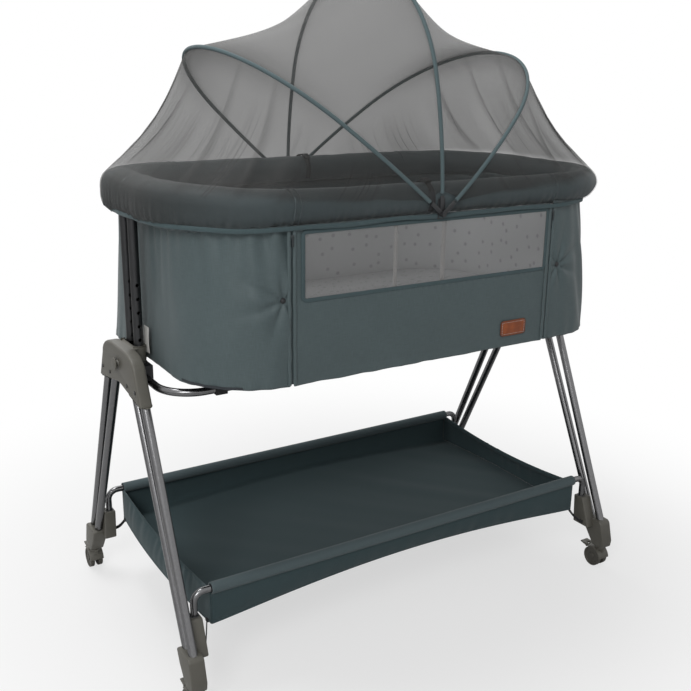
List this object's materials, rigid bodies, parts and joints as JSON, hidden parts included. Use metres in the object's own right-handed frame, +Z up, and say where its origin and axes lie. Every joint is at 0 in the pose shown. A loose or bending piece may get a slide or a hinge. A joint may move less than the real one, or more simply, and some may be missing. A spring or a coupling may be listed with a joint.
{
  "type": "bedside cradle",
  "caption": "Bedside cradle: padded cot with mesh windows and a mosquito net on hoops, height-adjustable on two A-shaped end stands on castors, over a fabric basket.",
  "frame": {"origin": "on the floor, below the middle of the stand: midway between the two end stands and between the front and rear swivel axes", "axes": "+X along the cot to the right, seen from the side that drops; +Y to the rear; +Z up"},
  "size_m": [0.9386, 0.5872, 1.1624],
  "materials": {
    "leg_steel": "satin tube",
    "upright_steel": "satin dark grey",
    "latch_steel": "plain",
    "grey_plastic": "fine texture",
    "wheel_rubber": "smooth",
    "black_plastic": "satin",
    "hoop_binding": "fibre rod in a cloth binding",
    "webbing": "flat woven",
    "cloth": "melange weave",
    "rim_cloth": "melange weave, padded",
    "lining_cloth": "light grey with small dots",
    "mattress_cover": "soft knit",
    "board": "hardboard",
    "mesh": "fine net",
    "patch_leather": "smooth, bare",
    "label_cloth": "bare",
    "zip_metal": "satin black"
  },
  "bodies": {
    "stand": {"left_hub": "grey_plastic", "right_hub": "grey_plastic", "front_left_leg": "leg_steel", "rear_left_leg": "leg_steel", "front_right_leg": "leg_steel", "rear_right_leg": "leg_steel", "front_left_foot": "grey_plastic", "rear_left_foot": "grey_plastic", "front_right_foot": "grey_plastic", "rear_right_foot": "grey_plastic", "stand_rivets": "latch_steel", "basket_rails": "leg_steel", "basket": "cloth", "basket_straps": "webbing"},
    "cot": {"left_uprights": "upright_steel", "right_uprights": "upright_steel", "rim_rail": "leg_steel", "rail_joints": "black_plastic", "base_frame": "leg_steel", "base_brackets": "black_plastic", "base_board": "board", "base_loops": "webbing", "mattress": "mattress_cover", "outer_cloth": "cloth", "rear_window_mesh": "mesh", "lining": "lining_cloth", "rim_padding": "rim_cloth", "label_tab": "label_cloth", "zip_tapes": "webbing", "side_toggles": "black_plastic", "hoop_pins": "latch_steel", "net_clips": "black_plastic", "middle_hoop": "hoop_binding", "left_net_fan": "mesh", "right_net_fan": "mesh", "left_net_end": "mesh", "right_net_end": "mesh"},
    "drop_side": {"drop_panel": "cloth", "front_window_mesh": "mesh", "leather_patch": "patch_leather"},
    "left_zip": {"left_zip_slider": "zip_metal"},
    "right_zip": {"right_zip_slider": "zip_metal"},
    "left_net_hoop": {"left_hoop": "hoop_binding"},
    "right_net_hoop": {"right_hoop": "hoop_binding"},
    "left_release": {"left_button": "grey_plastic"},
    "right_release": {"right_button": "grey_plastic"},
    "left_pins": {"left_latch": "latch_steel"},
    "right_pins": {"right_latch": "latch_steel"},
    "front_left_castor": {"front_left_fork": "grey_plastic"},
    "front_left_wheel_pair": {"front_left_wheels": "wheel_rubber"},
    "front_left_brake_pedal": {"front_left_brake": "grey_plastic"},
    "rear_left_castor": {"rear_left_fork": "grey_plastic"},
    "rear_left_wheel_pair": {"rear_left_wheels": "wheel_rubber"},
    "rear_left_brake_pedal": {"rear_left_brake": "grey_plastic"},
    "front_right_castor": {"front_right_fork": "grey_plastic"},
    "front_right_wheel_pair": {"front_right_wheels": "wheel_rubber"},
    "front_right_brake_pedal": {"front_right_brake": "grey_plastic"},
    "rear_right_castor": {"rear_right_fork": "grey_plastic"},
    "rear_right_wheel_pair": {"rear_right_wheels": "wheel_rubber"},
    "rear_right_brake_pedal": {"rear_right_brake": "grey_plastic"}
  },
  "joints": [
    {"name": "cot_height", "type": "slide", "parent": "stand", "child": "cot", "axis": [0, 0, 1], "range_m": [-0.115, 0]},
    {"name": "side_drop", "type": "hinge", "parent": "cot", "child": "drop_side", "pos_m": [0, -0.2523, 0.53585], "axis": [1, 0, 0], "range_deg": [0, 165]},
    {"name": "left_zip_pull", "type": "slide", "parent": "cot", "child": "left_zip", "axis": [0, 0, 1], "range_m": [-0.2, 0]},
    {"name": "right_zip_pull", "type": "slide", "parent": "cot", "child": "right_zip", "axis": [0, 0, 1], "range_m": [-0.2, 0]},
    {"name": "left_hoop_lean", "type": "hinge", "parent": "cot", "child": "left_net_hoop", "pos_m": [0, 0, 0.768], "axis": [0, 1, 0], "range_deg": [0, 35], "deforming": ["left_net_fan", "left_net_end"]},
    {"name": "right_hoop_lean", "type": "hinge", "parent": "cot", "child": "right_net_hoop", "pos_m": [0, 0, 0.768], "axis": [0, 1, 0], "range_deg": [-35, 0], "deforming": ["right_net_fan", "right_net_end"]},
    {"name": "left_button_press", "type": "slide", "parent": "stand", "child": "left_release", "axis": [1, 0, 0], "range_m": [0, 0.004], "stiffness_N_per_m": 300},
    {"name": "left_pins_draw", "type": "slide", "parent": "stand", "child": "left_pins", "axis": [-1, 0, 0], "range_m": [0, 0.003]},
    {"name": "right_button_press", "type": "slide", "parent": "stand", "child": "right_release", "axis": [-1, 0, 0], "range_m": [0, 0.004], "stiffness_N_per_m": 300},
    {"name": "right_pins_draw", "type": "slide", "parent": "stand", "child": "right_pins", "axis": [1, 0, 0], "range_m": [0, 0.003]},
    {"name": "front_left_swivel", "type": "hinge", "parent": "stand", "child": "front_left_castor", "pos_m": [-0.45, -0.262, 0.05], "axis": [0, 0, 1], "continuous": true},
    {"name": "front_left_roll", "type": "hinge", "parent": "front_left_castor", "child": "front_left_wheel_pair", "pos_m": [-0.45, -0.249, 0.02], "axis": [1, 0, 0], "continuous": true},
    {"name": "front_left_brake_press", "type": "hinge", "parent": "front_left_castor", "child": "front_left_brake_pedal", "pos_m": [-0.45, -0.2308, 0.0364], "axis": [1, 0, 0], "range_deg": [-20, 0]},
    {"name": "rear_left_swivel", "type": "hinge", "parent": "stand", "child": "rear_left_castor", "pos_m": [-0.45, 0.262, 0.05], "axis": [0, 0, 1], "continuous": true},
    {"name": "rear_left_roll", "type": "hinge", "parent": "rear_left_castor", "child": "rear_left_wheel_pair", "pos_m": [-0.45, 0.275, 0.02], "axis": [1, 0, 0], "continuous": true},
    {"name": "rear_left_brake_press", "type": "hinge", "parent": "rear_left_castor", "child": "rear_left_brake_pedal", "pos_m": [-0.45, 0.2932, 0.0364], "axis": [1, 0, 0], "range_deg": [-20, 0]},
    {"name": "front_right_swivel", "type": "hinge", "parent": "stand", "child": "front_right_castor", "pos_m": [0.45, -0.262, 0.05], "axis": [0, 0, 1], "continuous": true},
    {"name": "front_right_roll", "type": "hinge", "parent": "front_right_castor", "child": "front_right_wheel_pair", "pos_m": [0.45, -0.249, 0.02], "axis": [1, 0, 0], "continuous": true},
    {"name": "front_right_brake_press", "type": "hinge", "parent": "front_right_castor", "child": "front_right_brake_pedal", "pos_m": [0.45, -0.2308, 0.0364], "axis": [1, 0, 0], "range_deg": [-20, 0]},
    {"name": "rear_right_swivel", "type": "hinge", "parent": "stand", "child": "rear_right_castor", "pos_m": [0.45, 0.262, 0.05], "axis": [0, 0, 1], "continuous": true},
    {"name": "rear_right_roll", "type": "hinge", "parent": "rear_right_castor", "child": "rear_right_wheel_pair", "pos_m": [0.45, 0.275, 0.02], "axis": [1, 0, 0], "continuous": true},
    {"name": "rear_right_brake_press", "type": "hinge", "parent": "rear_right_castor", "child": "rear_right_brake_pedal", "pos_m": [0.45, 0.2932, 0.0364], "axis": [1, 0, 0], "range_deg": [-20, 0]}
  ],
  "couplings": [
    {"joint": "left_pins_draw", "follows": "left_button_press", "ratio": 0.75},
    {"joint": "right_pins_draw", "follows": "right_button_press", "ratio": 0.75}
  ]
}
